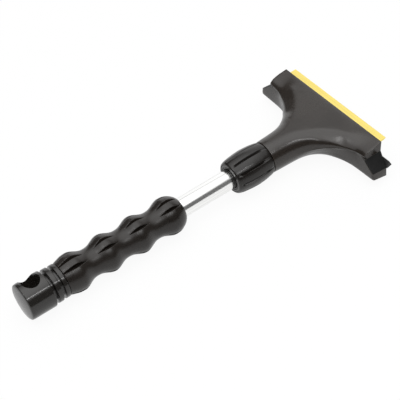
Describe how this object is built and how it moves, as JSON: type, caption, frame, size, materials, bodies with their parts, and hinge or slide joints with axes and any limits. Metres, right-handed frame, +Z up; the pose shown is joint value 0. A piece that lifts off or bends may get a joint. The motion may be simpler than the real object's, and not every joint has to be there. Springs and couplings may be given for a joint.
{
  "type": "ice scraper",
  "caption": "Telescopic ice scraper: flared head with a brass blade and a rubber lip on a sliding tube, twist-lock collar, fluted grip with hanging hole.",
  "frame": {"origin": "centre of the bounding box at the level of the lowest point, on the plane the tool lies on", "axes": "+X along the handle axis towards the blade, +Y across the head, +Z up from the plane towards the brass blade's top face"},
  "size_m": [0.3562, 0.166, 0.037],
  "materials": {
    "head_plastic": "semi-gloss moulded",
    "grip_plastic": "semi-gloss moulded",
    "black_plastic": "semi-gloss moulded",
    "aluminium": "bright anodised",
    "brass": "rolled, bright",
    "rubber": "matt",
    "nylon": "natural",
    "steel": "zinc plated"
  },
  "bodies": {
    "handle": {"outer_tube": "aluminium", "front_bush": "nylon", "collet": "nylon", "collet_pin_left": "steel", "collet_pin_right": "steel", "grip_sleeve": "grip_plastic", "grip_ring": "grip_plastic", "end_cap": "grip_plastic", "cap_screw": "steel"},
    "twist_lock": {"lock_nut": "black_plastic", "nut_retainer": "black_plastic", "wiper_ring": "rubber"},
    "slider": {"guide_bush": "nylon"},
    "scraper_head": {"inner_tube": "aluminium", "bush_pin_left": "steel", "bush_pin_right": "steel", "head": "head_plastic", "neck_screw": "steel", "scraper_lip": "rubber", "blade": "brass", "blade_pin_left": "steel", "blade_pin_middle": "steel", "blade_pin_right": "steel"}
  },
  "joints": [
    {"name": "lock_turn", "type": "hinge", "parent": "handle", "child": "twist_lock", "pos_m": [0.0685, 0, 0.0185], "axis": [1, 0, 0], "range_deg": [0, 180]},
    {"name": "telescope", "type": "slide", "parent": "handle", "child": "slider", "axis": [1, 0, 0], "range_m": [0, 0.165]},
    {"name": "head_turn", "type": "hinge", "parent": "slider", "child": "scraper_head", "pos_m": [0.0889, 0, 0.0185], "axis": [1, 0, 0], "continuous": true}
  ]
}
